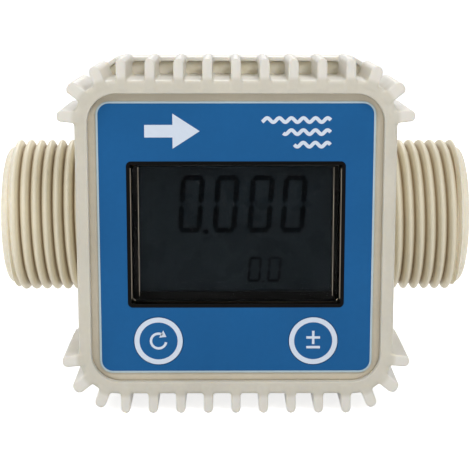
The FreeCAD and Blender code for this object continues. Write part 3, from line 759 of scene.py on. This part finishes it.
def screws():
    low, high = span("case_screws")
    screw = turned_screw(low.y, high.y)
    cutters = [recess_cutter(*halves, high.y) for halves in ((RECESS_LONG, RECESS_HALF),
                                                             (RECESS_HALF, RECESS_LONG))]
    for cutter in cutters:
        cut = screw.modifiers.new("cut", "BOOLEAN")
        cut.operation, cut.solver, cut.object = "DIFFERENCE", "EXACT", cutter
    apply_modifiers(screw)
    verts = [tuple(vertex.co) for vertex in screw.data.vertices]
    faces = [list(face.vertices) for face in screw.data.polygons]
    for item in (*cutters, screw):
        bpy.data.objects.remove(item)
    whole = Shape()
    for sx, sz in QUARTERS:
        cx, cz = sx * (high.x - HEAD_RADIUS), sz * (high.z - HEAD_RADIUS)
        turn = math.radians(20 + 37 * (sx + 2 * sz))    # each screw stops at another angle
        c, s = math.cos(turn), math.sin(turn)
        whole.add([(cx + x * c - z * s, y, cz + x * s + z * c) for x, y, z in verts], faces)
    made = put("pan_screws", whole, "steel")
    smooth_by_angle(made.data, SCREW_CREASE)
    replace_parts(made, "case_screws")


screws()


# Moulded flow arrow on the back -----------------------------------------------------------------------

BACK_ARROW = ((-11, -1.3), (4, -1.3), (4, -4.0), (11.5, 0), (4, 4.0), (4, 1.3), (-11, 1.3))
BACK_ARROW_HEIGHT, BACK_ARROW_SUNK, BACK_ARROW_BEVEL = 0.95, 0.2, 0.18

arrow = Shape()
arrow.prism(BACK_ARROW, BODY_BACK - BACK_ARROW_SUNK, BODY_BACK + BACK_ARROW_HEIGHT)
# its darker colour is painted shade that outlines the raised arrow
raised = put("moulded_arrow", arrow, "raised")
bevel = raised.modifiers.new("soft", "BEVEL")
bevel.width, bevel.segments = BACK_ARROW_BEVEL * MM, 2
apply_modifiers(raised)


# Looks of the CAD nodes -------------------------------------------------------------------------------

LOOKS = {
    "display_housing": "housing", "front_label": "label", "display_lens": "lens", "lcd_frame": "black",
    "lcd_glass": "glass", "contact_strips": "rubber", "circuit_board": "board", "pickup_sensor": "black",
    "battery_tray": "black", "upper_battery": "jacket", "lower_battery": "jacket", "battery_studs": "nickel",
    "battery_springs": "nickel", "rear_cover": "nylon", "case_gasket": "rubber", "reset_button": "label",
    "cal_button": "label", "reset_switch": "black", "cal_switch": "black", "reset_plunger": "black",
    "cal_plunger": "black", "inlet_stator": "acetal", "outlet_stator": "acetal", "inlet_bush": "bronze",
    "outlet_bush": "bronze", "inlet_retaining_ring": "spring", "outlet_retaining_ring": "spring",
    "turbine_rotor": "acetal_grey", "rotor_magnets": "nickel", "rotor_shaft": "steel", "meter_body": "nylon",
    "inlet_port": "thread", "outlet_port": "thread", "protective_boot": "silicone", "case_screws": "steel",
}
for node, look in LOOKS.items():
    target = frame["nodes"][node]
    if not target.material_slots:
        target.data.materials.append(M[look])
    for material_slot in target.material_slots:
        material_slot.material = M[look]


# Stage, in metres -------------------------------------------------------------------------------------

FLOOR_RADIUS, FLOOR_DROP = 8.0, 0.00005
FLOOR_GREY, FLOOR_GLOW, WORLD_LIT = 0.8, 0.8, 0.42
CAMERA_SPOT, CAMERA_AIM = (-0.0018, -0.28902, 0.087), (0, AXIS_Y * MM, 0.03125)
SENSOR, LENS = 36.0, 102.5
TARGET = (0, 0, 0.036)
LAMPS = (("key_light", (0.3, -0.5, 0.6), 0.35, 2.4), ("fill_light", (-0.5, -0.4, 0.4), 0.4, 1.7),
         ("back_light", (0.0, 0.55, 0.5), 0.4, 1.6))    # name, spot, size and watts


def light_path_mix(tree, seen, lit):
    """Seen by the camera, in gloss or through glass: one shader; for all other light: the other."""
    path = tree.nodes.new("ShaderNodeLightPath")
    add = [tree.nodes.new("ShaderNodeMath") for _ in range(2)]
    for node in add:
        node.operation = "ADD"
    add[1].use_clamp = True
    tree.links.new(path.outputs["Is Camera Ray"], add[0].inputs[0])
    tree.links.new(path.outputs["Is Glossy Ray"], add[0].inputs[1])
    tree.links.new(add[0].outputs[0], add[1].inputs[0])
    tree.links.new(path.outputs["Is Transmission Ray"], add[1].inputs[1])
    mixed = tree.nodes.new("ShaderNodeMixShader")
    tree.links.new(add[1].outputs[0], mixed.inputs[0])
    tree.links.new(lit, mixed.inputs[1])
    tree.links.new(seen, mixed.inputs[2])
    return mixed.outputs[0]


def floor():
    work = bmesh.new()
    bmesh.ops.create_circle(work, cap_ends=True, segments=96, radius=FLOOR_RADIUS)
    mesh = bpy.data.meshes.new("floor")
    work.to_mesh(mesh)
    work.free()
    made = bpy.data.objects.new("floor", mesh)
    bpy.context.scene.collection.objects.link(made)
    made.location.z = -FLOOR_DROP
    look = bpy.data.materials.new("floor")
    look.use_nodes = True
    tree = look.node_tree
    tree.nodes.remove(tree.nodes["Principled BSDF"])
    diffuse = tree.nodes.new("ShaderNodeBsdfDiffuse")
    diffuse.inputs["Color"].default_value = (FLOOR_GREY, FLOOR_GREY, FLOOR_GREY, 1)
    glow = tree.nodes.new("ShaderNodeEmission")
    glow.inputs["Strength"].default_value = FLOOR_GLOW
    both = tree.nodes.new("ShaderNodeAddShader")
    tree.links.new(diffuse.outputs[0], both.inputs[0])
    tree.links.new(glow.outputs[0], both.inputs[1])
    tree.links.new(light_path_mix(tree, both.outputs[0], diffuse.outputs[0]),
                   tree.nodes["Material Output"].inputs["Surface"])
    mesh.materials.append(look)


def world():
    studio = bpy.data.worlds.new("studio")
    bpy.context.scene.world = studio
    studio.use_nodes = True
    tree = studio.node_tree
    seen, lit = tree.nodes["Background"], tree.nodes.new("ShaderNodeBackground")
    for background, strength in ((seen, 1.0), (lit, WORLD_LIT)):
        background.inputs["Color"].default_value = (1, 1, 1, 1)
        background.inputs["Strength"].default_value = strength
    tree.links.new(light_path_mix(tree, seen.outputs[0], lit.outputs[0]),
                   tree.nodes["World Output"].inputs["Surface"])


def aimed(name, data, spot, aim):
    """A lamp or camera at a spot, turned towards its aim."""
    made = bpy.data.objects.new(name, data)
    bpy.context.scene.collection.objects.link(made)
    made.location = spot
    made.rotation_euler = (Vector(aim) - Vector(spot)).to_track_quat("-Z", "Y").to_euler()
    return made


def camera():
    data = bpy.data.cameras.new("camera")
    data.sensor_width, data.lens = SENSOR, LENS
    bpy.context.scene.camera = aimed("camera", data, CAMERA_SPOT, CAMERA_AIM)


def lamp(name, spot, size, watts):
    data = bpy.data.lights.new(name, "AREA")
    data.shape, data.size, data.energy = "DISK", size, watts
    aimed(name, data, spot, TARGET)


floor()
world()
camera()
for settings in LAMPS:
    lamp(*settings)
bpy.context.scene.view_settings.view_transform = "Standard"
